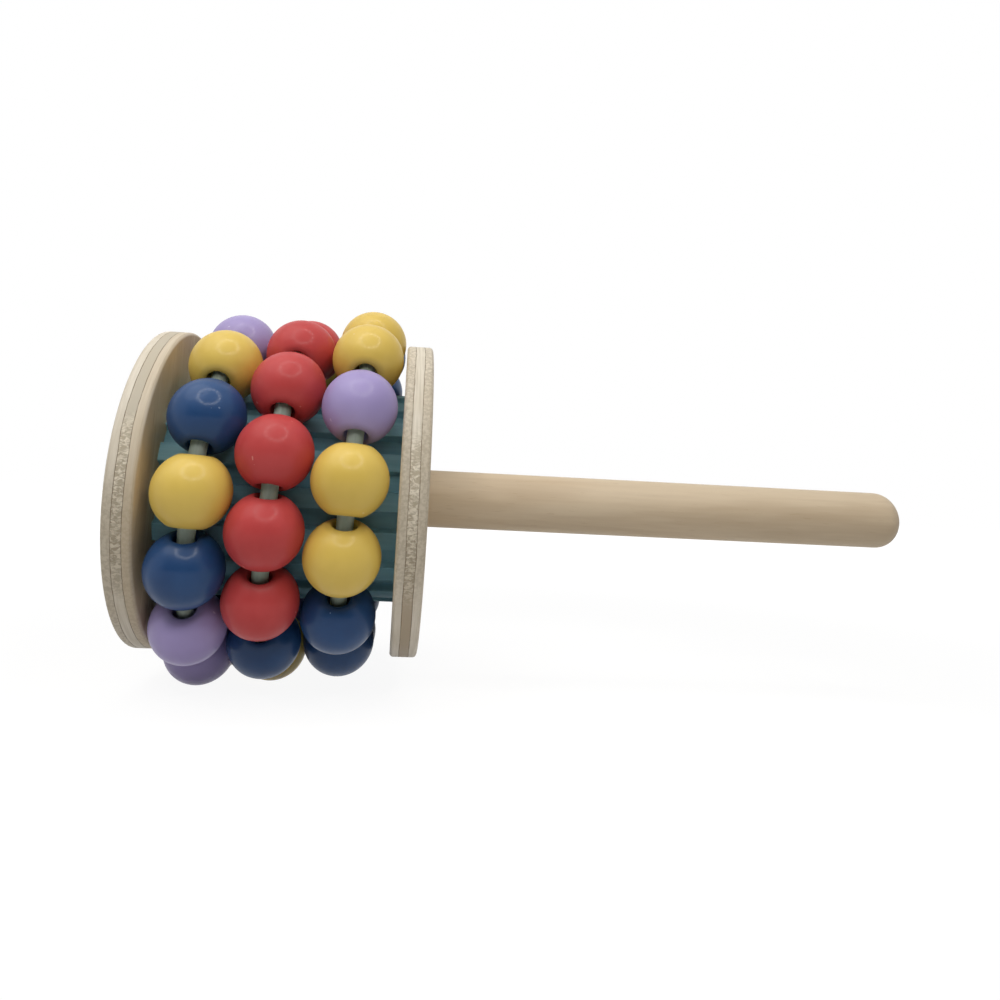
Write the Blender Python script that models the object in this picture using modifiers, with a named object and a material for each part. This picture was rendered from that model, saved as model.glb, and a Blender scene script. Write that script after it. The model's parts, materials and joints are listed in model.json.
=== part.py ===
"""Bead roller push toy.

A ribbed wooden drum between two plywood discs spins on a wooden handle, and three nested rows of
threaded beads hang loosely round the drum. Lengths are in metres. +X runs along the handle to its tip,
+Z is up, and the toy lies on its beads with the floor at Z = 0 and the origin below its middle."""

import math
from collections import namedtuple

import bpy

MM = 0.001

# Clearances
SEAT_GAP = 0.3 * MM  # between pieces that are glued or seated
RUN_GAP = 0.3 * MM  # round the axle and under the handle's shoulder, where the roller spins
END_PLAY = 0.3 * MM  # the roller's play along the axle
BEAD_GAP = 0.2 * MM  # least room between two beads
DISC_GAP = 0.35 * MM  # least room between a bead and a disc
CORD_GAP = 0.55 * MM  # least room round the cord inside a bead

# Beads and the cords they are threaded on
BEAD_DIAMETER = 24 * MM
BEAD_LENGTH = 21.4 * MM  # between the flats round the bore
BEAD_MOUTH = 0.7 * MM  # rounding where the bore meets the flat
BEAD_SHOULDER = 2 * MM  # rounding where the flat meets the ball
CORD_DIAMETER = 5.2 * MM
LOOP_PLAY = 4.1 * MM  # room all round the drum inside a row that is centred on it
ROW_LEAN = math.radians(2.75)  # the tops of the rows lean towards the handle

# Drum
DRUM_DIAMETER = 73.2 * MM
RIB_COUNT = 18
RIB_WIDTH = 5.7 * MM  # the land on top of a rib
RIB_FLARE = 0.4 * MM  # how much wider a rib is on each side at its foot
GROOVE_DEPTH = 2.8 * MM
RIB_PHASE = math.radians(2.5)

# Discs
DISC_DIAMETER = 109.2 * MM
DISC_THICKNESS = 9 * MM
RIM_ROUNDING = 1.2 * MM

# Handle and axle
HANDLE_DIAMETER = 20.4 * MM
HANDLE_LENGTH = 178 * MM
DOME_LENGTH = 8.5 * MM
AXLE_DIAMETER = 12 * MM
SOCKET_DEPTH = 30 * MM

# Hub: what holds the roller on the axle, inside the far disc
HUB_LEDGE = 5 * MM  # the drum's end that shows in the hub hole, round the axle
WASHER_ROOM = 2 * MM  # between the washer's edge and the hub hole
WASHER_THICKNESS = 1.5 * MM
SCREW_DIAMETER = 4 * MM
SCREW_LENGTH = 22 * MM
SCREW_HEAD_DIAMETER = 8 * MM
SCREW_HEAD_HEIGHT = 2.6 * MM
PLUG_RECESS = 0.2 * MM
PLUG_CHAMFER = 0.5 * MM

# Facets of the turned shapes
DISC_STEPS = 64
DOWEL_STEPS = 32
SMALL_STEPS = 24
BEAD_STEPS = 12
CORD_SIDES = 8
CORD_STEPS_PER_BEAD = 4

# Finishes: colour as it looks (red, green, blue out of 255), roughness, metallic
FINISHES = {
    "mustard": ((222, 178, 84), 0.42, 0),
    "coral": ((196, 78, 74), 0.42, 0),
    "denim": ((58, 88, 132), 0.42, 0),
    "lavender": ((168, 152, 204), 0.42, 0),
    "teal": ((104, 146, 152), 0.55, 0),
    "plywood": ((226, 204, 168), 0.6, 0),
    "beech": ((228, 200, 164), 0.5, 0),
    "cord": ((232, 230, 224), 0.35, 0),
    "steel": ((190, 192, 196), 0.3, 1),
}

# The rows, from the far disc to the near one. A bead's angle starts at the middle of the front (-Y) and grows
# downwards, and phase is the angle of the row's first bead. Each loose row lies off the axle line until it
# rests on the drum, and hang is the way that it lies: 0 is straight back (+Y), and it grows upwards. colours
# name the beads from the first one on.
Row = namedtuple("Row", "name phase hang colours")
ROWS = (
    Row(
        "left",
        math.radians(-1.1),
        math.radians(-30),
        "mustard denim lavender lavender mustard denim coral "
        "mustard lavender denim mustard lavender mustard denim",
    ),
    Row(
        "middle",
        math.radians(-14),
        math.radians(-14),
        "coral coral coral denim mustard lavender denim "
        "mustard denim lavender mustard coral coral coral",
    ),
    Row(
        "right",
        math.radians(-2.6),
        math.radians(40),
        "mustard mustard denim denim denim denim lavender "
        "coral mustard denim denim mustard mustard lavender",
    ),
)


def bead_profile():
    """Half of the bead's outline, from the mouth of the bore to the ball: (radius, height) points."""
    flat = BEAD_BORE / 2 + BEAD_MOUTH
    shoulder = flat + BEAD_SHOULDER
    ball = BEAD_DIAMETER / 2
    start = math.asin(shoulder / ball)
    points = [(BEAD_BORE / 2, BEAD_LENGTH / 2 - BEAD_MOUTH), (flat, BEAD_LENGTH / 2)]
    for share in (0, 0.5):
        angle = start + share * (math.pi / 2 - start)
        points.append((ball * math.sin(angle), ball * math.cos(angle)))
    return points


def beads_that_fit():
    """How many beads go on a loop: neighbours come nearest on the loop's inner side."""
    tightest = max(
        math.atan((height + BEAD_GAP / 2) / (ROW_RADIUS - radius)) for radius, height in bead_profile()
    )
    return math.floor(math.pi / tightest)


def nesting_step(first, second):
    """Distance between the planes of two rows whose beads lie in each other's gaps, at any turn."""
    stagger = (second.phase - first.phase) % BEAD_PITCH
    stagger = min(stagger, BEAD_PITCH - stagger)
    apart = BEAD_DIAMETER + BEAD_GAP
    shift = 2 * ROW_OFFSET * math.sin(abs(second.hang - first.hang) / 2) + apart * math.tan(ROW_LEAN)
    across = 2 * ROW_RADIUS * math.sin(stagger / 2) - shift
    return math.sqrt(apart**2 - max(across, 0) ** 2)


def bead_angles(row):
    return [row.phase + bead * BEAD_PITCH for bead in range(BEADS_PER_ROW)]


def row_place(row, step):
    """The middle of a row that lies step along the rows' leaning axis, from the middle of the drum."""
    y = ROW_OFFSET * math.cos(row.hang)
    z = ROW_OFFSET * math.sin(row.hang)
    return step / math.cos(ROW_LEAN) + z * math.tan(ROW_LEAN), y, z


# The rows' sizes follow from the drum and the beads
ROW_RADIUS = DRUM_DIAMETER / 2 + LOOP_PLAY + BEAD_DIAMETER / 2
ROW_OFFSET = LOOP_PLAY - SEAT_GAP - ROW_RADIUS * (1 - math.cos(ROW_LEAN))
CORD_BOW = ROW_RADIUS - math.sqrt(ROW_RADIUS**2 - (BEAD_LENGTH / 2) ** 2)
CORD_RADIUS = ROW_RADIUS + CORD_BOW / 2
BEAD_BORE = CORD_DIAMETER + CORD_BOW + 2 * CORD_GAP
BEADS_PER_ROW = beads_that_fit()
BEAD_PITCH = 2 * math.pi / BEADS_PER_ROW
ROW_STEPS = (-nesting_step(ROWS[0], ROWS[1]), 0, nesting_step(ROWS[1], ROWS[2]))
ROW_PLACES = [row_place(row, step) for row, step in zip(ROWS, ROW_STEPS)]
ROW_MIDDLE = (ROW_PLACES[0][0] + ROW_PLACES[-1][0]) / 2
ROW_REACH = ROW_RADIUS * math.sin(ROW_LEAN) + BEAD_DIAMETER / 2 + DISC_GAP

# Places along the axle line, from the middle of the drum
INNER_FACE = (ROW_PLACES[-1][0] - ROW_PLACES[0][0]) / 2 + ROW_REACH
OUTER_FACE = INNER_FACE + DISC_THICKNESS
DRUM_END = INNER_FACE - SEAT_GAP
HANDLE_START = OUTER_FACE + RUN_GAP
HANDLE_TIP = HANDLE_START + HANDLE_LENGTH
AXLE_BORE = AXLE_DIAMETER + 2 * RUN_GAP
AXLE_END = HANDLE_START + SOCKET_DEPTH - SEAT_GAP
AXLE_START = -DRUM_END - END_PLAY
HUB_HOLE = AXLE_DIAMETER + 2 * HUB_LEDGE
WASHER_FACE = AXLE_START - SEAT_GAP
HEAD_FACE = WASHER_FACE - WASHER_THICKNESS - SEAT_GAP
PLUG_FACE = HEAD_FACE - SCREW_HEAD_HEIGHT - SEAT_GAP

# The floor lies under the lowest bead, and the origin under the middle of the part's length and width
BEAD_DEPTHS = []
BEAD_HEIGHTS = []
for row, (x, y, z) in zip(ROWS, ROW_PLACES):
    for angle in bead_angles(row):
        BEAD_DEPTHS.append(y - ROW_RADIUS * math.cos(angle))
        BEAD_HEIGHTS.append(z - ROW_RADIUS * math.sin(angle) * math.cos(ROW_LEAN))
ORIGIN = (
    (OUTER_FACE - HANDLE_TIP) / 2,
    -(min(BEAD_DEPTHS) + max(BEAD_DEPTHS)) / 2,
    BEAD_DIAMETER / 2 - min(BEAD_HEIGHTS),
)


def clear_scene():
    for obj in list(bpy.data.objects):
        bpy.data.objects.remove(obj)


def finish(name):
    """The material of this name, made once."""
    if name in bpy.data.materials:
        return bpy.data.materials[name]
    colour, roughness, metallic = FINISHES[name]
    material = bpy.data.materials.new(name)
    material.use_nodes = True
    shader = material.node_tree.nodes["Principled BSDF"]
    linear = [(part / 255) ** 2.2 for part in colour]
    shader.inputs["Base Color"].default_value = (*linear, 1)
    shader.inputs["Roughness"].default_value = roughness
    shader.inputs["Metallic"].default_value = metallic
    material.diffuse_color = (*linear, 1)
    return material


def empty(name, parent, location=(0, 0, 0), rotation=(0, 0, 0)):
    obj = bpy.data.objects.new(name, None)
    obj.parent = parent
    obj.location = location
    obj.rotation_euler = rotation
    obj.empty_display_size = BEAD_DIAMETER
    PARTS.objects.link(obj)
    return obj


def add_part(name, data, material, parent, location, rotation=(0, 0, 0)):
    data.materials.append(finish(material))
    obj = bpy.data.objects.new(name, data)
    obj.parent = parent
    obj.location = location
    obj.rotation_euler = rotation
    PARTS.objects.link(obj)
    return obj


def turned(name, profile, steps, material, parent, location=(0, 0, 0), rotation=(0, 0, 0), ring=True):
    """A piece turned about its own Z axis. The profile of (radius, height) points runs down its outer side.
    A ring's profile closes on itself, and any other starts and ends on the axis."""
    mesh = bpy.data.meshes.new(name)
    last = len(profile) - 1
    edges = [(i, i + 1) for i in range(last)]
    if ring:
        edges.append((last, 0))
    mesh.from_pydata([(radius, 0, height) for radius, height in profile], edges, [])
    obj = add_part(name, mesh, material, parent, location, rotation)
    screw = obj.modifiers.new("Turning", "SCREW")
    screw.axis = "Z"
    screw.angle = 2 * math.pi
    screw.steps = steps
    screw.render_steps = steps
    screw.use_merge_vertices = True
    screw.merge_threshold = 0.01 * MM
    screw.use_smooth_shade = True
    return obj


def arc(centre_radius, centre_height, size, start, end, count):
    """Points of a quarter round on a profile, from one angle to another."""
    angles = [start + (end - start) * i / (count - 1) for i in range(count)]
    return [(centre_radius + size * math.cos(a), centre_height + size * math.sin(a)) for a in angles]


def make_disc(name, bore, parent, place):
    rim = DISC_DIAMETER / 2 - RIM_ROUNDING
    half = DISC_THICKNESS / 2
    shoulder = half - RIM_ROUNDING
    profile = [(bore / 2, half)]
    profile += arc(rim, shoulder, RIM_ROUNDING, math.pi / 2, 0, 3)
    profile += arc(rim, -shoulder, RIM_ROUNDING, 0, -math.pi / 2, 3)
    profile.append((bore / 2, -half))
    return turned(name, profile, DISC_STEPS, "plywood", parent, (0, 0, place))


def make_drum(parent):
    """The ribbed outline with the axle's bore, drawn out along the axle line."""
    land = DRUM_DIAMETER / 2
    foot = land - GROOVE_DEPTH
    half_land = RIB_WIDTH / 2 / land
    half_foot = (RIB_WIDTH / 2 + RIB_FLARE) / foot
    outline = []
    for rib in range(RIB_COUNT):
        middle = RIB_PHASE - math.pi / 2 + rib * 2 * math.pi / RIB_COUNT
        for radius, angle in ((foot, -half_foot), (land, -half_land), (land, half_land), (foot, half_foot)):
            outline.append((radius * math.cos(middle + angle), radius * math.sin(middle + angle)))
    turns = [2 * math.pi * i / DOWEL_STEPS for i in range(DOWEL_STEPS)]
    bore = [(AXLE_BORE / 2 * math.cos(a), AXLE_BORE / 2 * math.sin(a)) for a in turns]
    curve = bpy.data.curves.new("drum", "CURVE")
    curve.dimensions = "2D"
    curve.fill_mode = "BOTH"
    curve.extrude = DRUM_END
    for points in (outline, bore):
        spline = curve.splines.new("POLY")
        spline.points.add(len(points) - 1)
        spline.use_cyclic_u = True
        for point, (x, y) in zip(spline.points, points):
            point.co = (x, y, 0, 1)
    return add_part("drum", curve, "teal", parent, (0, 0, 0))


def make_handle(parent):
    """A dowel with a domed tip and a blind socket for the axle."""
    radius = HANDLE_DIAMETER / 2
    socket = AXLE_DIAMETER / 2 + SEAT_GAP
    straight = HANDLE_LENGTH - DOME_LENGTH
    profile = []
    for step in range(6):
        angle = math.pi / 2 * step / 5
        profile.append((radius * math.sin(angle), straight + DOME_LENGTH * math.cos(angle)))
    profile += [(radius, 0), (socket, 0), (socket, SOCKET_DEPTH), (0, SOCKET_DEPTH)]
    return turned("handle", profile, DOWEL_STEPS, "beech", parent, (0, 0, HANDLE_START), ring=False)


def make_axle(parent):
    """A dowel from the socket to the hub, with a pilot hole for the screw in its far end."""
    radius = AXLE_DIAMETER / 2
    pilot = SCREW_DIAMETER / 2 + SEAT_GAP
    depth = HEAD_FACE + SCREW_LENGTH - AXLE_START + SEAT_GAP
    length = AXLE_END - AXLE_START
    profile = [(0, length), (radius, length), (radius, 0), (pilot, 0), (pilot, depth), (0, depth)]
    return turned("axle", profile, DOWEL_STEPS, "beech", parent, (0, 0, AXLE_START), ring=False)


def make_hub(screwed_to, plugged_to):
    washer = HUB_HOLE / 2 - WASHER_ROOM
    hole = SCREW_DIAMETER / 2 + SEAT_GAP
    ring = [(hole, 0), (washer, 0), (washer, -WASHER_THICKNESS), (hole, -WASHER_THICKNESS)]
    turned("retaining_washer", ring, SMALL_STEPS, "steel", screwed_to, (0, 0, WASHER_FACE))

    shank = SCREW_DIAMETER / 2
    head = SCREW_HEAD_DIAMETER / 2
    screw = [(0, SCREW_LENGTH), (shank, SCREW_LENGTH - SCREW_DIAMETER), (shank, 0), (head, 0)]
    screw += [(head, -SCREW_HEAD_HEIGHT / 2), (head / 2, -SCREW_HEAD_HEIGHT), (0, -SCREW_HEAD_HEIGHT)]
    turned("retaining_screw", screw, SMALL_STEPS, "steel", screwed_to, (0, 0, HEAD_FACE), ring=False)

    plug = HUB_HOLE / 2 - SEAT_GAP
    depth = PLUG_FACE + OUTER_FACE - PLUG_RECESS
    outline = [(0, 0), (plug - PLUG_CHAMFER, 0), (plug, -PLUG_CHAMFER), (plug, -depth), (0, -depth)]
    turned("hub_plug", outline, SMALL_STEPS, "beech", plugged_to, (0, 0, PLUG_FACE), ring=False)


def make_row(row, place, parent):
    """One loop of cord with its beads. The row's empty lies on the axis that the row turns about, its local X."""
    x, y, z = place
    axis = empty(f"row_{row.name}_axis", parent, (x - ROW_MIDDLE, y, z), (0, ROW_LEAN, 0))
    sides = [-2 * math.pi * i / CORD_SIDES for i in range(CORD_SIDES)]
    cord = CORD_DIAMETER / 2
    round_cord = [(CORD_RADIUS + cord * math.cos(a), cord * math.sin(a)) for a in sides]
    steps = CORD_STEPS_PER_BEAD * BEADS_PER_ROW
    turned(f"cord_{row.name}", round_cord, steps, "cord", axis, rotation=(0, math.pi / 2, 0))

    half = bead_profile()
    outline = half + [(BEAD_DIAMETER / 2, 0)] + [(radius, -height) for radius, height in reversed(half)]
    colours = row.colours.split()
    for bead, angle in enumerate(bead_angles(row)):
        centre = (0, -ROW_RADIUS * math.cos(angle), -ROW_RADIUS * math.sin(angle))
        name = f"bead_{row.name}_{bead + 1:02d}"
        colour = colours[bead % len(colours)]
        turned(name, outline, BEAD_STEPS, colour, axis, centre, (angle, 0, 0))


clear_scene()
PARTS = bpy.data.collections.new("bead_roller")
bpy.context.scene.collection.children.link(PARTS)
toy = empty("toy", None, ORIGIN)
# Its local Z is the axle line, towards the handle
axle_line = empty("axle_line", toy, rotation=(0, math.pi / 2, 0))
roller_axis = empty("roller_axis", axle_line)
make_handle(axle_line)
make_axle(axle_line)
make_drum(roller_axis)
make_disc("near_disc", AXLE_BORE, roller_axis, (INNER_FACE + OUTER_FACE) / 2)
make_disc("far_disc", HUB_HOLE, roller_axis, -(INNER_FACE + OUTER_FACE) / 2)
make_hub(axle_line, roller_axis)
for row, place in zip(ROWS, ROW_PLACES):
    make_row(row, place, toy)
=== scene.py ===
"""Looks of the bead roller push toy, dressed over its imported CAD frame. Lengths are in metres.

The beads, cords, drum, discs, handle and hub plug are finer surfaces in the places of their CAD nodes, and
each one rides on the body of its node. The axle, washer and screw, which nothing shows from outside, keep
their CAD shapes."""

import json
import math

import bmesh
import bpy
import numpy as np
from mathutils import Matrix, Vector

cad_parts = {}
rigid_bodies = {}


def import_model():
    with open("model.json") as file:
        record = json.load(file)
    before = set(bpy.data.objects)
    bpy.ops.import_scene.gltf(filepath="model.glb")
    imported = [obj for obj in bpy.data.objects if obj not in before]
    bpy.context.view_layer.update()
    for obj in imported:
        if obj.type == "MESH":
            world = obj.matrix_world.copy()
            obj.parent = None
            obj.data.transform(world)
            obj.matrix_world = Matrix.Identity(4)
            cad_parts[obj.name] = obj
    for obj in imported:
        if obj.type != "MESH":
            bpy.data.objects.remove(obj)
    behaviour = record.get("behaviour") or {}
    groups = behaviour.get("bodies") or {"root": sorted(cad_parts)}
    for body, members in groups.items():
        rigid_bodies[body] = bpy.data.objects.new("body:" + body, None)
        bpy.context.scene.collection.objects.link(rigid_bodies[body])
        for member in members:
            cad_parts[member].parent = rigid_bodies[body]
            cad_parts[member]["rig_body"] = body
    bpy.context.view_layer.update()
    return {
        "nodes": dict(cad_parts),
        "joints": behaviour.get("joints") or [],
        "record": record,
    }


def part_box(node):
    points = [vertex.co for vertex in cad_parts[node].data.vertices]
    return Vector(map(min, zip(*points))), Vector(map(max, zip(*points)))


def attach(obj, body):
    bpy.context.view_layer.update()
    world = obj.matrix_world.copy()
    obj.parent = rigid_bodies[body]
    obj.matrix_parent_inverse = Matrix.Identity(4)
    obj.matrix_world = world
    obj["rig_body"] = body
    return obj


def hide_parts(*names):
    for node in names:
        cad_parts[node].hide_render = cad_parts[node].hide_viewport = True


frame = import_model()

joints = {joint["name"]: joint for joint in frame["joints"]}
colour_slots = {part["node"]: part["material_slot"] for part in frame["record"]["subparts"]}

MM = 0.001
FULL_TURN = 2 * math.pi
ROWS = ("left", "middle", "right")
BEADS_PER_ROW = 14

# Sizes from the CAD source. Its beads have flats, and the round ones here lie between flats and corners.
BEAD_RADIUS = 11.8 * MM
BEAD_LENGTH = 21.4 * MM
BEAD_BORE_RADIUS = 3.7 * MM
BEAD_MOUTH = 0.7 * MM
BEAD_SHOULDER = 2 * MM
CORD_RADIUS = 2.6 * MM
LOOP_RADIUS = 53.25 * MM
DRUM_RADIUS = 36.6 * MM
RIB_COUNT = 18
RIB_WIDTH = 5.7 * MM
RIB_FLARE = 0.4 * MM
RIB_PHASE = math.radians(2.5)
GROOVE_DEPTH = 2.8 * MM
AXLE_BORE_RADIUS = 6.3 * MM
HUB_HOLE_RADIUS = 11 * MM
RIM_ROUNDING = 1.2 * MM
HANDLE_RADIUS = 10.2 * MM
DOME_LENGTH = 8.5 * MM
SOCKET_RADIUS = 6.3 * MM
SOCKET_DEPTH = 30 * MM

# Small forms and limits that only the looks have
FLAT_EASE = 0.7 * MM
BALL_EASE = 0.8 * MM
CORD_STRAY = 0.08 * MM
HOLE_BEVEL = 0.25 * MM
HANDLE_EASE = 0.5 * MM
SOCKET_BEVEL = 0.3 * MM
PLUG_EASE = 0.6 * MM
DOME_FULLNESS = 2 / 2.15
SHARP_EDGE = math.radians(50)
SAME_POINT = 1e-7

# Light and view
CAMERA_PLACE = (-0.05101, -0.29256, 0.06842)
CAMERA_TURN = (98.107, -2.826, -4.667)
CAMERA_LENS = 28.36
CAMERA_SENSOR = 36
CAMERA_SHIFT = (0.035, -0.12)
CAMERA_NEAREST = 0.01
LAMP_COLOUR = (1, 0.98, 0.95)
RING_DISTANCE = 0.6
RING_ELEVATION = math.radians(57)
RING_AZIMUTH = math.radians(7)
RING_RADIUS = 0.275
RING_WIDTH = 0.045
RING_STRENGTH = 12.7
TOP_LAMP_OFFSET = (-0.4, -0.25, 0.88)
TOP_LAMP_SIZE = 1.0
TOP_LAMP_POWER = 3.9
FILL_LIGHT = 0.225
FLOOR_REACH = 4.0
FLOOR_HEIGHT = -0.3 * MM
FLOOR_GLOW = 1.1

chance = np.random.default_rng(7)


def linear(red, green, blue):
    """A colour as it looks, out of 255 each, in the linear light that shaders use."""
    share = np.array((red, green, blue)) / 255
    light = np.where(share <= 0.04045, share / 12.92, ((share + 0.055) / 1.055) ** 2.4)
    return (*light.tolist(), 1.0)


class Value:
    """One output of a node. Sums and products with it become Math nodes in the same tree."""

    def __init__(self, nodes, socket):
        self.nodes = nodes
        self.socket = socket

    def maths(self, operation, *terms):
        return self.nodes.node("ShaderNodeMath", {"operation": operation}, dict(enumerate(terms)))

    def __add__(self, other):
        return self.maths("ADD", self, other)

    def __sub__(self, other):
        return self.maths("SUBTRACT", self, other)

    def __rsub__(self, other):
        return self.maths("SUBTRACT", other, self)

    def __mul__(self, other):
        return self.maths("MULTIPLY", self, other)

    def __abs__(self):
        return self.maths("ABSOLUTE", self)

    def larger(self, other):
        return self.maths("MAXIMUM", self, other)

    __radd__ = __add__
    __rmul__ = __mul__


class Nodes:
    """A node tree while it is being made."""

    def __init__(self, tree):
        self.tree = tree

    def node(self, kind, settings, sockets, out=0):
        """A new node. Its settings come first, then a value or a link for each named or numbered socket."""
        made = self.tree.nodes.new(kind)
        for name, value in settings.items():
            setattr(made, name, value)
        for name, value in sockets.items():
            if isinstance(value, Value):
                self.tree.links.new(value.socket, made.inputs[name])
            else:
                made.inputs[name].default_value = value
        return Value(self, made.outputs[out])

    def seen(self):
        """1 for what is seen, straight, mirrored or through glass, and 0 for light that falls on things."""
        straight = self.node("ShaderNodeLightPath", {}, {}, "Is Camera Ray")
        mirrored = self.node("ShaderNodeLightPath", {}, {}, "Is Glossy Ray")
        through = self.node("ShaderNodeLightPath", {}, {}, "Is Transmission Ray")
        return straight.larger(mirrored).larger(through)


class Finish(Nodes):
    """A material while it is being made: a node tree round one Principled shader."""

    def __init__(self, name, **fixed):
        self.material = bpy.data.materials.new(name)
        self.material.use_nodes = True
        super().__init__(self.material.node_tree)
        self.shader = self.tree.nodes["Principled BSDF"]
        for socket, value in fixed.items():
            self.shader.inputs[socket.replace("_", " ")].default_value = value

    def feed(self, socket, value):
        """Links a value to a socket of the shader."""
        self.tree.links.new(value.socket, self.shader.inputs[socket])

    def point(self):
        """The place on the piece, in the piece's own coordinates."""
        return self.node("ShaderNodeTexCoord", {}, {}, "Object")

    def layer(self, name, out="Fac"):
        """A number that the mesh carries at each of its points, or a vector."""
        return self.node("ShaderNodeAttribute", {"attribute_name": name}, {}, out)

    def pattern(self, point, detail=2.0, roughness=0.5, distortion=0.0):
        """Noise about 0.5 that changes over a vector."""
        sockets = {
            "Vector": point,
            "Scale": 1.0,
            "Detail": detail,
            "Roughness": roughness,
            "Distortion": distortion,
        }
        return self.node("ShaderNodeTexNoise", {}, sockets)

    def noise(self, stretch, *manner):
        """Noise over the piece, with each axis stretched: a larger number makes it finer along that axis.
        Its manner is the detail, roughness and distortion of the pattern."""
        factors = {0: self.point(), 1: stretch}
        stretched = self.node("ShaderNodeVectorMath", {"operation": "MULTIPLY"}, factors)
        return self.pattern(stretched, *manner)

    def ramp(self, value, low, high, to_low=0.0, to_high=1.0):
        """Eases from to_low at low to to_high at high, and stays there on either side."""
        sockets = {"Value": value, "From Min": low, "From Max": high, "To Min": to_low, "To Max": to_high}
        return self.node("ShaderNodeMapRange", {"interpolation_type": "SMOOTHSTEP"}, sockets)

    def mix(self, share, first, second):
        """Goes from the first colour to the second as share goes from 0 to 1."""
        return self.node("ShaderNodeMix", {"data_type": "RGBA"}, {0: share, 6: first, 7: second}, 2)

    def bump(self, height, depth, strength):
        """Makes the light fall as on a surface that rises by depth where height is 1."""
        sockets = {"Height": height, "Distance": depth, "Strength": strength}
        self.feed("Normal", self.node("ShaderNodeBump", {}, sockets))


def bead_paint(name, gloss, colour, shade, chip):
    """Satin paint on a turned wooden bead: cloudy tone, faint lathe rings, fine pimples, a few nicks, and
    ends darkened by dirt and painted shade.
    """
    paint = Finish(name, Coat_Weight=gloss, Coat_Roughness=0.19, Specular_IOR_Level=0.15)
    cloud = paint.noise((75, 75, 75), 3)
    tone = paint.mix(paint.ramp(cloud, 0.3, 0.7), linear(*shade), linear(*colour))
    nick = paint.noise((420, 420, 420), 1)
    where = paint.noise((95, 95, 95), 1)
    chipped = paint.ramp(nick, 0.745, 0.77) * paint.ramp(where, 0.58, 0.63)
    # Dirt and painted shade: the bead's ends and bore mouths, where the beads meet, are darkened towards a
    # darker copy of its second tone.
    end_dirt_and_shade = paint.ramp(abs(paint.layer("along")), 0.9, 1.0) * 0.3
    tone = paint.mix(end_dirt_and_shade, tone, linear(*(0.72 * part for part in shade)))
    paint.feed("Base Color", paint.mix(chipped * 0.6, tone, linear(*chip)))
    grain = paint.noise((260, 260, 260), 3)
    paint.feed("Roughness", paint.ramp(grain, 0.25, 0.75, 0.46, 0.58) + chipped * 0.2)
    rings = paint.pattern(paint.layer("lathe", "Vector"), 2)
    pimples = paint.noise((900, 900, 900), 2)
    paint.bump(rings * 0.35 + pimples * 0.25 - chipped * 1.5, 0.00005, 0.5)
    return paint.material


def drum_paint():
    """Matt teal paint on wood: streaks along the drum, lighter rib edges in patches, and painted shade in the
    grooves.
    """
    paint = Finish("drum_teal", Specular_IOR_Level=0.3)
    streak = paint.noise((14, 420, 420), 4, 0.6)
    cloud = paint.noise((40, 60, 60), 3)
    share = paint.ramp(streak * 0.5 + cloud * 0.5, 0.35, 0.65)
    tone = paint.mix(share, linear(122, 175, 192), linear(148, 199, 215))
    height = paint.layer("rib")
    # The rib edges are lighter teal in patches.
    lighter_rib_edge = paint.ramp(height, 0.8, 0.97) * paint.ramp(height, 1.0, 0.985) * paint.ramp(cloud, 0.4, 0.65)
    tone = paint.mix(lighter_rib_edge * 0.45, tone, linear(194, 228, 234))
    # Painted shade: the groove floors, and the hidden ends and bore, are darkened towards a deeper teal.
    tone = paint.mix(paint.ramp(height, 0.5, 0.0) * 0.2, tone, linear(94, 148, 170))
    paint.feed("Base Color", tone)
    paint.feed("Roughness", paint.ramp(streak, 0.3, 0.7, 0.5, 0.66))
    paint.bump(streak, 0.00012, 0.6)
    return paint.material


def cord_plastic():
    """Smooth milky cord, a little see-through and faintly green, with soft clouds and hardly any streaks."""
    cord = Finish("cord_milky", Transmission_Weight=0.55, IOR=1.4, Specular_IOR_Level=0.3)
    streak = cord.pattern(cord.layer("strand", "Vector"), 2)
    cloud = cord.noise((160, 160, 160), 2)
    share = cord.ramp(streak * 0.4 + cloud * 0.6, 0.35, 0.65)
    cord.feed("Base Color", cord.mix(share, linear(188, 206, 190), linear(216, 232, 217)))
    cord.feed("Roughness", cord.ramp(streak, 0.3, 0.7, 0.3, 0.42))
    cord.bump(streak, 0.00006, 0.5)
    return cord.material


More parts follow.
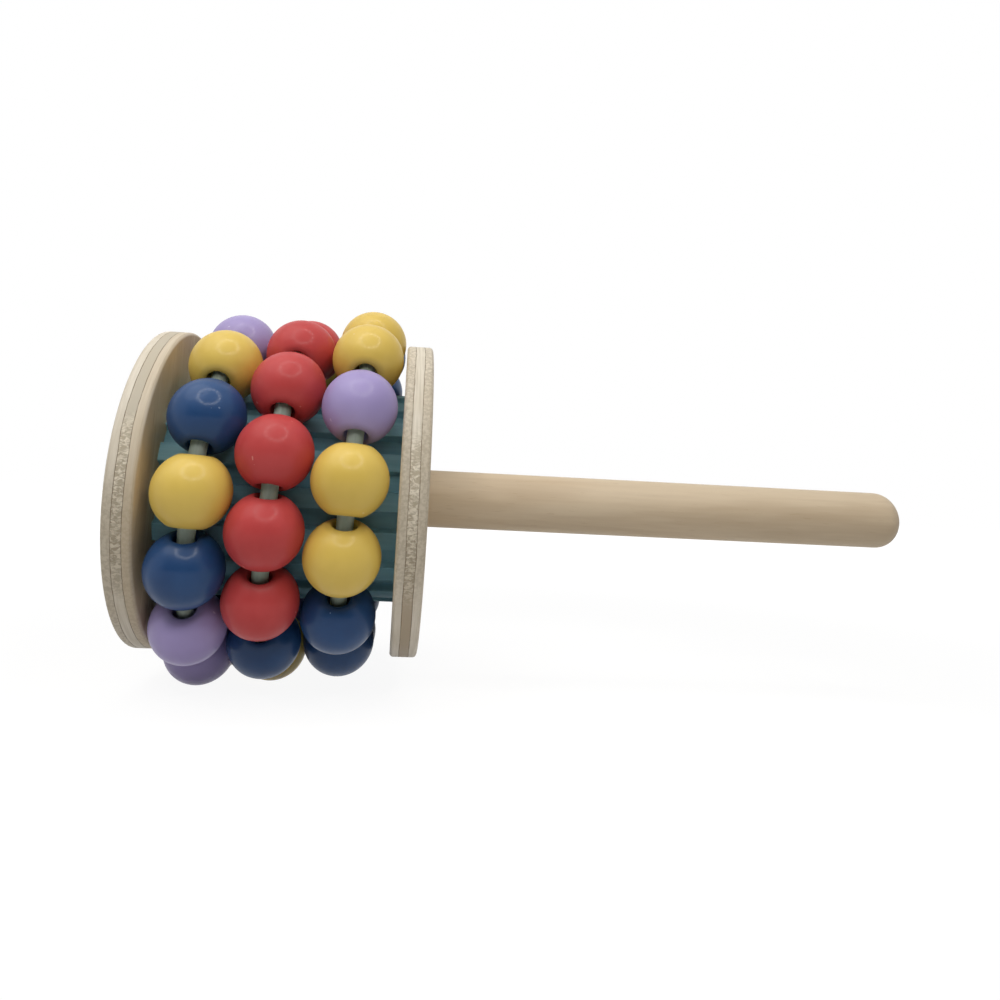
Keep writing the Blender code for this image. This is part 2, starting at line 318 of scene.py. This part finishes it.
def plywood(name, way, shift, dark, warm, slide):
    """Sanded plywood: a veneer on the faces, and on the rim three plies with wavering glue lines between.

    The middle ply is crumbly end grain at the front and back, and that crumb is darker towards the bottom as
    painted shade. Elsewhere it goes from streaked to the dark colour, downwards where way is 1 and upwards
    where it is -1, while the outer plies go from speckled to the lighter smooth colour the same way: these
    changes with height are painted light and shade. The outer plies are also darker at the front and back, as
    painted shade. A lower shift begins the changes with height sooner. The ply towards the handle is tinted
    by warm, and a higher slide makes the veneer paler, a lower one darker."""
    glue_place = 0.345
    skin_place = 0.86
    wood = Finish(name, Specular_IOR_Level=0.3)
    wander = wood.noise((6, 45, 45), 4, 0.6)
    across = wood.layer("ply") + (wander - 0.5) * 0.28
    rim = wood.layer("rim")
    front = wood.layer("front")
    height = wood.layer("rise")
    rise = height * way + shift
    middle = wood.ramp(abs(across), 0.37, 0.33)

    lines = wood.ramp(wood.noise((1300, 60, 60), 2, 0.5), 0.3, 0.7)
    speck = wood.noise((1000, 1000, 1000), 2, 0.6)
    crumb = wood.ramp(wood.noise((620, 1100, 1100), 3, 0.6, 0.7), 0.4, 0.62)
    cloud = wood.noise((60, 60, 60), 3)
    end = wood.ramp(front + cloud * 0.3 - height * 0.2, 0.86, 1.08)
    speckled = wood.mix(wood.ramp(speck, 0.35, 0.65), linear(190, 180, 162), linear(219, 210, 193))
    # Painted shade: the outer plies are darker towards the front and back of the rim.
    speckled = wood.mix(front * 0.45, speckled, linear(172, 160, 138))
    smooth = wood.mix(lines, linear(214, 205, 188), linear(229, 221, 206))
    # Painted light: the outer plies turn to the lighter smooth colour with height, at the bottom of the near
    # disc and at the top of the far disc.
    outer = wood.mix(wood.ramp(rise, -0.3, -0.75), speckled, smooth)
    outer = wood.mix(wood.ramp(across, 0.3, 0.4) * warm, outer, linear(190, 170, 138))
    streaked = wood.mix(lines, linear(204, 195, 177), linear(222, 214, 198))
    # Painted light and shade: the middle ply turns to the dark colour with height, downwards on the near disc
    # and upwards on the far disc.
    pale = wood.mix(wood.ramp(rise, 0.1, -0.7), streaked, linear(*dark))
    # Painted shade: the crumbly end grain of the middle ply is darker towards the bottom.
    upper = wood.mix(crumb, linear(184, 173, 152), linear(232, 223, 205))
    lower = wood.mix(crumb, linear(164, 152, 131), linear(212, 202, 182))
    inner = wood.mix(end, pale, wood.mix(wood.ramp(height, 0.3, -0.45), upper, lower))
    edge = wood.mix(middle, outer, inner)
    glue = wood.ramp(abs(abs(across) - glue_place), 0.04, 0.01)
    skin = wood.ramp(abs(abs(across) - skin_place), 0.04, 0.01)
    gap = wood.noise((30, 260, 260), 2)
    edge = wood.mix(glue * wood.ramp(gap, 0.25, 0.6, 0.35, 0.9), edge, linear(122, 105, 84))
    edge = wood.mix(skin * 0.2, edge, linear(156, 139, 112))

    figure = wood.noise((10, 90, 9), 3, 0.55, 1.2)
    fine = wood.noise((10, 1100, 60), 3, 0.6)
    pore = wood.ramp(wood.noise((10, 1500, 130), 1), 0.66, 0.74)
    grain = wood.ramp(figure * 0.6 + fine * 0.4 + slide, 0.38, 0.64)
    face = wood.mix(grain, linear(204, 182, 146), linear(228, 212, 182))
    face = wood.mix(pore * 0.4, face, linear(166, 138, 100))
    tone = wood.mix(rim, face, edge)
    wood.feed("Base Color", wood.mix(wood.ramp(cloud, 0.45, 0.75) * 0.25, tone, linear(198, 184, 158)))
    wood.feed("Roughness", wood.ramp(cloud, 0.3, 0.7, 0.55, 0.7))
    torn = middle * end * crumb
    relief = rim * (torn * 0.6 + speck * 0.2 - glue * 0.4) + (1 - rim) * (fine * 0.25 - pore * 0.3)
    wood.bump(relief, 0.0004, 0.6)
    return wood.material


def dowel_wood():
    """Pale beech with its grain along the toy: broad soft bands, faint fine lines and a few darker flecks."""
    wood = Finish("dowel_beech", Specular_IOR_Level=0.35)
    band = wood.noise((9, 70, 70), 3, 0.5, 0.8)
    fine = wood.noise((40, 700, 700), 2, 0.5)
    fleck = wood.ramp(wood.noise((170, 1300, 1300), 1), 0.66, 0.75)
    share = wood.ramp(band * 0.78 + fine * 0.22, 0.36, 0.62)
    tone = wood.mix(share, linear(193, 173, 145), linear(208, 190, 163))
    cloud = wood.noise((16, 45, 45), 2)
    tone = wood.mix(wood.ramp(cloud, 0.5, 0.75) * 0.3, tone, linear(209, 183, 149))
    wood.feed("Base Color", wood.mix(fleck * 0.2, tone, linear(170, 144, 110)))
    wood.feed("Roughness", wood.ramp(fine, 0.3, 0.7, 0.46, 0.6))
    wood.bump(fine * 0.5 - fleck * 0.3, 0.0001, 0.5)
    return wood.material


def plated_steel():
    """Zinc-plated steel with fine turning marks."""
    steel = Finish("hub_steel", Metallic=1.0)
    marks = steel.noise((60, 1600, 1600), 2)
    steel.feed("Base Color", steel.mix(marks, linear(150, 153, 158), linear(206, 208, 211)))
    steel.feed("Roughness", steel.ramp(marks, 0.3, 0.7, 0.24, 0.42))
    steel.bump(marks, 0.00005, 0.5)
    return steel.material


def line(start, end, count):
    """Even points on a straight line, without its last one."""
    return np.linspace(start, end, count, endpoint=False)


def legs(corners, counts):
    """Even points on straight legs from each corner to the next, with a count of points for each leg."""
    return np.concatenate([line(*leg) for leg in zip(corners, corners[1:], counts)])


def arc(centre, size, start, end, count):
    """Points on a circular arc between two angles, without its last one: centre + size (cos a, sin a)."""
    angle = line(start, end, count)
    return np.column_stack((centre[0] + size * np.cos(angle), centre[1] + size * np.sin(angle)))


def ring_grid(turns, points):
    """Quads of a grid of points that closes on itself both ways: each joins (i, j) to its next ones."""
    i, j = np.meshgrid(np.arange(turns), np.arange(points), indexing="ij")
    over = (i + 1) % turns
    on = (j + 1) % points
    corners = (i * points + j, over * points + j, over * points + on, i * points + on)
    return np.stack(corners, -1).reshape(-1, 4)


def turned(outline, turns):
    """A profile carried round the Z axis: (radius, height) becomes (radius cos a, radius sin a, height) for
    each of the even angles a of a full turn."""
    angle = line(0, FULL_TURN, turns)[:, None]
    radius, height = outline.T
    return np.stack(np.broadcast_arrays(radius * np.cos(angle), radius * np.sin(angle), height), -1)


def make_mesh(name, points, faces, layers):
    """A closed mesh with its faces turned outwards: where the sum of the corner triple products, which is six
    times the volume, comes out negative, each face runs the other way round."""
    points = points.reshape(-1, 3)
    a, b, c, d = (points[faces[:, k]] for k in range(4))
    if np.einsum("ij,ij->", a, np.cross(b, c) + np.cross(c, d)) < 0:
        faces = faces[:, ::-1]
    mesh = bpy.data.meshes.new(name)
    mesh.from_pydata(points.tolist(), [], faces.tolist())
    for layer, values in layers.items():
        values = np.asarray(values, np.float32)
        vector = values.shape[-1] == 3 and values.size == points.size
        made = mesh.attributes.new(layer, "FLOAT_VECTOR" if vector else "FLOAT", "POINT")
        made.data.foreach_set("vector" if vector else "value", values.ravel())
    mesh.shade_smooth()
    return mesh


def close_poles(mesh):
    """Merges the points of a turned profile that lie together on its axis."""
    work = bmesh.new()
    work.from_mesh(mesh)
    bmesh.ops.remove_doubles(work, verts=work.verts, dist=SAME_POINT)
    work.to_mesh(mesh)
    work.free()
    mesh.shade_smooth()


def add_piece(name, mesh, finish, node):
    """Puts a finished mesh in the scene in place of its CAD node, on the node's body."""
    mesh.materials.append(finish)
    piece = bpy.data.objects.new(name, mesh)
    bpy.context.scene.collection.objects.link(piece)
    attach(piece, frame["nodes"][node]["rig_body"])
    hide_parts(node)


def along_axle(points, start):
    """Turns a shape whose axis is Z onto the axle line, from a place along X."""
    x, y, z = np.moveaxis(points, -1, 0)
    axle = joints["roller_spin"]["pos_m"]
    return np.stack((start + z, axle[1] + x, axle[2] + y), -1)


def axle_mesh(name, outline, turns, start, layers):
    """A closed profile turned about the axle line, from a place along X."""
    points = along_axle(turned(outline, turns), start)
    return make_mesh(name, points, ring_grid(turns, len(outline)), layers)


def bead_outline():
    """The closed profile of a bead, as (radius, height): up the bore, round its mouth, over the flat, round
    the shoulder on a cubic curve that leaves the flat and meets the ball without a crease, along the ball,
    and the same mirrored below."""
    top = BEAD_LENGTH / 2
    flat = BEAD_BORE_RADIUS + BEAD_MOUTH
    meet = math.asin((flat + BEAD_SHOULDER) / BEAD_RADIUS)
    bore = np.column_stack((np.full(3, BEAD_BORE_RADIUS), line(0, top - BEAD_MOUTH, 3)))
    mouth = arc((flat, top - BEAD_MOUTH), BEAD_MOUTH, math.pi, math.pi / 2, 5)
    ball = arc((0, 0), BEAD_RADIUS, math.pi / 2 - meet, 0, 14)
    slope = np.array((math.cos(meet), -math.sin(meet)))
    corners = np.array(((flat, top), (flat + FLAT_EASE, top), ball[0] - BALL_EASE * slope, ball[0]))
    t = line(0, 1, 6)[:, None]
    weights = np.hstack(((1 - t) ** 3, 3 * t * (1 - t) ** 2, 3 * t**2 * (1 - t), t**3))
    half = np.vstack((bore, mouth, weights @ corners, ball))
    return np.vstack((half, ((BEAD_RADIUS, 0),), half[:0:-1] * (1, -1)))


def make_beads(paints):
    """Each bead is one turned profile, laid with its bore along its own joint's axis and turned by chance."""
    turns = 60
    fine_along = 1500
    fine_across = 30
    outline = bead_outline()
    shape = turned(outline, turns).reshape(-1, 3)
    faces = ring_grid(turns, len(outline))
    along = shape[:, 2] / (BEAD_LENGTH / 2)
    rings = np.column_stack((shape[:, 2] * fine_along, shape[:, :2] * fine_across))
    for row in ROWS:
        for count in range(1, BEADS_PER_ROW + 1):
            node = f"bead_{row}_{count:02d}"
            joint = joints[f"{node}_spin"]
            bore = np.array(joint["axis"])
            side = np.cross(bore, (1, 0, 0))
            side /= np.linalg.norm(side)
            over = np.cross(bore, side)
            spin = chance.uniform(0, FULL_TURN)
            first = math.cos(spin) * side + math.sin(spin) * over
            laid = shape @ np.stack((first, np.cross(bore, first), bore)) + joint["pos_m"]
            lathe = rings + chance.uniform(0, 50, 3)
            mesh = make_mesh(f"{node}_turned", laid, faces, {"along": along, "lathe": lathe})
            add_piece(f"{node}_painted", mesh, paints[colour_slots[node]], node)


def slow_waves(angle):
    """A slight stray along a loop: the sum of three cosines of the angle, each begun at a chance place."""
    waves_per_turn = np.array((5, 9, 16))
    begun = chance.uniform(0, 6.3, 3)
    return CORD_STRAY * np.cos(waves_per_turn * angle + begun).sum(1, keepdims=True)


def make_cords(finish):
    """A round cord carried round each row's loop, whose middle strays a little from the true circle, outwards
    and sideways."""
    steps_per_bead = 28
    turns = steps_per_bead * BEADS_PER_ROW
    sides = 20
    angle = line(0, FULL_TURN, turns)[:, None]
    around = line(0, FULL_TURN, sides)
    for row in ROWS:
        joint = joints[f"row_{row}_turn"]
        axis = np.array(joint["axis"])
        side = np.cross(axis, (0, 1, 0))
        over = np.cross(axis, side)
        out = np.cos(angle)[..., None] * side + np.sin(angle)[..., None] * over
        reach = LOOP_RADIUS + slow_waves(angle) + CORD_RADIUS * np.cos(around)
        shift = slow_waves(angle) + CORD_RADIUS * np.sin(around)
        points = joint["pos_m"] + reach[..., None] * out + shift[..., None] * axis
        strand = 3 * np.stack(np.broadcast_arrays(angle, np.cos(around), np.sin(around)), -1)
        mesh = make_mesh(f"cord_{row}_loop", points, ring_grid(turns, sides), {"strand": strand})
        add_piece(f"cord_{row}_milky", mesh, finish, f"cord_{row}")


def make_drum(finish):
    """The ribbed outline, whose radius eases from groove floor to rib land and back with the angle, carried
    along the axle, over both ends and back through the bore."""
    pitch = FULL_TURN / RIB_COUNT
    land = RIB_WIDTH / 2 / DRUM_RADIUS
    foot = (RIB_WIDTH / 2 + RIB_FLARE) / (DRUM_RADIUS - GROOVE_DEPTH)
    offset = legs((-pitch / 2, -foot, -land, land, foot, pitch / 2), (3, 8, 6, 8, 3))
    share = np.clip((foot - abs(offset)) / (foot - land), 0, 1)
    share = share * share * (3 - 2 * share)
    angle = (np.arange(RIB_COUNT)[:, None] * pitch + offset + RIB_PHASE).ravel()
    height = np.tile(share, RIB_COUNT)
    radius = DRUM_RADIUS - GROOVE_DEPTH * (1 - height)

    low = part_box("far_disc")[1]
    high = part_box("near_disc")[0]
    edges = np.array(((0, 0), (1, 0), (1, 1), (0, 1), (0, 0)))
    forward, inward = legs(edges, (30, 5, 4, 5)).T
    reach = radius[:, None] * (1 - inward) + AXLE_BORE_RADIUS * inward
    round_x = reach * np.cos(angle)[:, None]
    round_y = reach * np.sin(angle)[:, None]
    length = np.broadcast_to(forward * (high.x - low.x), reach.shape)
    points = along_axle(np.stack((round_x, round_y, length), -1), low.x)
    rib = np.broadcast_to(height[:, None] * (1 - inward), reach.shape)
    mesh = make_mesh("drum_ribbed", points, ring_grid(*reach.shape), {"rib": rib})
    mesh.set_sharp_from_angle(angle=SHARP_EDGE)
    add_piece("drum_painted", mesh, finish, "drum")


def make_disc(node, hole, finish):
    """A disc's closed profile turned about the axle: out over one face, round the rim, back over the other
    and through the hole."""
    low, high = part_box(node)
    radius = (high.z - low.z) / 2
    thick = high.x - low.x
    inner = radius - RIM_ROUNDING
    outward = np.column_stack((line(hole + HOLE_BEVEL, inner, 20), np.full(20, thick)))
    over = arc((inner, thick - RIM_ROUNDING), RIM_ROUNDING, math.pi / 2, 0, 8)
    wall = np.column_stack((np.full(24, radius), line(thick - RIM_ROUNDING, RIM_ROUNDING, 24)))
    under = arc((inner, RIM_ROUNDING), RIM_ROUNDING, 0, -math.pi / 2, 8)
    inward = np.column_stack((line(inner, hole + HOLE_BEVEL, 20), np.zeros(20)))
    edge = np.array(((hole + HOLE_BEVEL, 0),))
    bore = np.column_stack((np.full(6, hole), np.linspace(HOLE_BEVEL, thick - HOLE_BEVEL, 6)))
    outline = np.vstack((outward, over, wall, under, inward, edge, bore))

    turns = 200
    angle = line(0, FULL_TURN, turns)[:, None]
    across = outline[:, 1] / thick * 2 - 1
    on_rim = np.clip((outline[:, 0] - inner) / (0.5 * RIM_ROUNDING), 0, 1)
    in_hole = outline[:, 0] < hole + 0.5 * HOLE_BEVEL
    layers = {
        "ply": across,
        "rim": np.where(in_hole, 1.0, on_rim),
        "front": np.cos(angle) ** 2,
        "rise": np.sin(angle),
    }
    layers = {name: np.broadcast_to(values, (turns, len(outline))) for name, values in layers.items()}
    mesh = axle_mesh(f"{node}_turned", outline, turns, low.x, layers)
    mesh.set_sharp_from_angle(angle=SHARP_EDGE)
    add_piece(f"{node}_plywood", mesh, finish, node)


def make_handle(finish):
    """The dowel's profile turned about the axle: from the bottom of its socket, out over its end, along it
    and over the dome, whose radius falls off on a rounded curve a little fuller than an ellipse."""
    low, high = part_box("handle")
    straight = high.x - low.x - DOME_LENGTH
    socket = np.array(((0, SOCKET_DEPTH), (SOCKET_RADIUS, SOCKET_DEPTH), (SOCKET_RADIUS, SOCKET_BEVEL)))
    end = np.array(((SOCKET_RADIUS + SOCKET_BEVEL, 0),))
    corner = arc((HANDLE_RADIUS - HANDLE_EASE, HANDLE_EASE), HANDLE_EASE, -math.pi / 2, 0, 5)
    side = np.column_stack((np.full(60, HANDLE_RADIUS), line(HANDLE_EASE, straight, 60)))
    t = np.linspace(0, math.pi / 2, 24)
    narrow = HANDLE_RADIUS * np.cos(t) ** DOME_FULLNESS
    narrow[-1] = 0
    dome = np.column_stack((narrow, straight + DOME_LENGTH * np.sin(t) ** DOME_FULLNESS))
    mesh = axle_mesh("handle_turned", np.vstack((socket, end, corner, side, dome)), 96, low.x, {})
    close_poles(mesh)
    mesh.set_sharp_from_angle(angle=SHARP_EDGE)
    add_piece("handle_dowel", mesh, finish, "handle")


def make_plug(finish):
    """The hub plug's profile turned about the axle, with its rounded outer edge."""
    low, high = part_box("hub_plug")
    radius = (high.z - low.z) / 2
    depth = high.x - low.x
    flat = radius - PLUG_EASE
    back = np.array(((0, depth), (flat, depth), (radius, depth - PLUG_EASE)))
    crown = arc((flat, PLUG_EASE), PLUG_EASE, 0, -math.pi / 2, 6)
    face = np.column_stack((line(flat, 0, 10), np.zeros(10)))
    mesh = axle_mesh("hub_plug_turned", np.vstack((back, crown, face, ((0, 0),))), 72, low.x, {})
    close_poles(mesh)
    mesh.set_sharp_from_angle(angle=SHARP_EDGE)
    add_piece("hub_plug_wood", mesh, finish, "hub_plug")


def add_stage(name, points, faces, finish):
    """A plain thing of the studio, which is not part of the toy."""
    mesh = bpy.data.meshes.new(name)
    mesh.from_pydata(np.asarray(points).tolist(), [], np.asarray(faces).tolist())
    mesh.materials.append(finish.material)
    thing = bpy.data.objects.new(name, mesh)
    bpy.context.scene.collection.objects.link(thing)
    return thing


def make_floor():
    """A pale floor under the lowest bead: it keeps a soft shadow near the toy and looks white far from it."""
    white = Finish("floor_white", Roughness=0.9, Specular_IOR_Level=0.0)
    glow = white.node("ShaderNodeEmission", {}, {"Strength": FLOOR_GLOW})
    away = white.node("ShaderNodeVectorMath", {"operation": "LENGTH"}, {0: white.point()}, "Value")
    share = white.seen() * white.ramp(away, 0.18, 0.7, 0.84, 1.0)
    white.feed("Base Color", white.ramp(away, 0.06, 0.2, 0.76, 0.58))
    plain = Value(white, white.shader.outputs[0])
    blend = white.node("ShaderNodeMixShader", {}, {0: share, 1: plain, 2: glow})
    white.tree.links.new(blend.socket, white.tree.nodes["Material Output"].inputs["Surface"])
    signs = ((-1, -1), (1, -1), (1, 1), (-1, 1))
    corners = [(x * FLOOR_REACH, y * FLOOR_REACH, FLOOR_HEIGHT) for x, y in signs]
    add_stage("floor", corners, [(0, 1, 2, 3)], white)


def make_ring_lamp():
    """A thin ring of light in front of the toy and above it, which the beads mirror as small rings."""
    turns = 96
    angle = line(0, FULL_TURN, turns)[:, None]
    radius = np.array((RING_RADIUS - RING_WIDTH / 2, RING_RADIUS + RING_WIDTH / 2))
    flat = np.stack(np.broadcast_arrays(radius * np.cos(angle), radius * np.sin(angle), 0 * angle), -1)
    i = np.arange(turns)
    on = (i + 1) % turns
    faces = np.column_stack((2 * i, 2 * i + 1, 2 * on + 1, 2 * on))
    level = math.cos(RING_ELEVATION)
    ahead = -math.cos(RING_AZIMUTH) * level
    toward = Vector((math.sin(RING_AZIMUTH) * level, ahead, math.sin(RING_ELEVATION)))
    place = Vector(joints["roller_spin"]["pos_m"]) + RING_DISTANCE * toward
    turn = np.array(toward.to_track_quat("Z", "Y").to_matrix())
    shine = Finish(
        "ring_glow",
        Base_Color=(0, 0, 0, 1),
        Emission_Color=(*LAMP_COLOUR, 1),
        Emission_Strength=RING_STRENGTH,
    )
    ring = add_stage("ring_lamp", flat.reshape(-1, 3) @ turn.T + np.array(place), faces, shine)
    ring.visible_camera = False


def make_card():
    """A dark card behind the camera with faded edges, so that what faces the camera mirrors no white air."""
    dark = Finish("card_grey", Base_Color=(0.08, 0.08, 0.08, 1), Roughness=0.9, Specular_IOR_Level=0.0)
    point = dark.point()
    across = dark.node("ShaderNodeSeparateXYZ", {}, {0: point}, "X")
    up = dark.node("ShaderNodeSeparateXYZ", {}, {0: point}, "Z")
    dark.feed("Alpha", dark.ramp(abs(across), 1.3, 0.5) * dark.ramp(up, 0.95, 0.15))
    near = -0.75
    low = 0.02
    high = 1.0
    wide = 1.4
    corners = ((-wide, near, low), (wide, near, low), (wide, near, high), (-wide, near, high))
    card = add_stage("card", corners, [(0, 1, 2, 3)], dark)
    card.visible_camera = False


def make_light():
    """Even light from all round, which looks white where it is seen, and one large soft lamp above."""
    scene = bpy.context.scene
    scene.view_settings.view_transform = "Standard"
    world = bpy.data.worlds.new("studio")
    scene.world = world
    world.use_nodes = True
    air = Nodes(world.node_tree)
    sky = air.tree.nodes["Background"]
    sky.inputs["Color"].default_value = (1, 1, 1, 1)
    strength = air.seen() * (1 - FILL_LIGHT) + FILL_LIGHT
    air.tree.links.new(strength.socket, sky.inputs["Strength"])

    lamp = bpy.data.lights.new("top_lamp", "AREA")
    lamp.shape = "DISK"
    lamp.size = TOP_LAMP_SIZE
    lamp.energy = TOP_LAMP_POWER
    lamp.color = LAMP_COLOUR
    top = bpy.data.objects.new("top_lamp", lamp)
    centre = Vector(joints["roller_spin"]["pos_m"])
    top.location = centre + Vector(TOP_LAMP_OFFSET)
    top.rotation_euler = (top.location - centre).to_track_quat("Z", "Y").to_euler()
    scene.collection.objects.link(top)


def make_camera():
    """The camera from which the toy lies as in the photograph."""
    lens = bpy.data.cameras.new("camera")
    lens.sensor_width = CAMERA_SENSOR
    lens.lens = CAMERA_LENS
    lens.shift_x, lens.shift_y = CAMERA_SHIFT
    lens.clip_start = CAMERA_NEAREST
    camera = bpy.data.objects.new("camera", lens)
    camera.location = CAMERA_PLACE
    camera.rotation_euler = [math.radians(angle) for angle in CAMERA_TURN]
    bpy.context.scene.collection.objects.link(camera)
    bpy.context.scene.camera = camera


make_camera()
make_light()
make_floor()
make_ring_lamp()
make_card()

paints = {
    "yellow_paint": bead_paint("bead_mustard", 0.3, (226, 195, 97), (219, 187, 89), (240, 224, 178)),
    "red_paint": bead_paint("bead_coral", 0.16, (194, 74, 74), (186, 66, 66), (226, 150, 140)),
    "blue_paint": bead_paint("bead_denim", 0.32, (36, 74, 122), (31, 66, 112), (128, 150, 182)),
    "purple_paint": bead_paint("bead_lavender", 0.3, (168, 155, 205), (160, 147, 197), (212, 202, 232)),
}
beech = dowel_wood()
steel = plated_steel()
near_wood = plywood("near_plywood", way=1, shift=0.0, dark=(178, 163, 141), warm=0.0, slide=0.0)
# Painted shade: the far disc's lower slide darkens its veneer, which sits in shade behind the beads.
far_wood = plywood("far_plywood", way=-1, shift=-0.5, dark=(194, 185, 167), warm=0.45, slide=-0.08)
make_beads(paints)
make_cords(cord_plastic())
make_drum(drum_paint())
make_disc("near_disc", AXLE_BORE_RADIUS, near_wood)
make_disc("far_disc", HUB_HOLE_RADIUS, far_wood)
make_handle(beech)
make_plug(beech)
for node, finish in (("axle", beech), ("retaining_washer", steel), ("retaining_screw", steel)):
    slots = frame["nodes"][node].data.materials
    slots.clear()
    slots.append(finish)

bpy.context.view_layer.update()
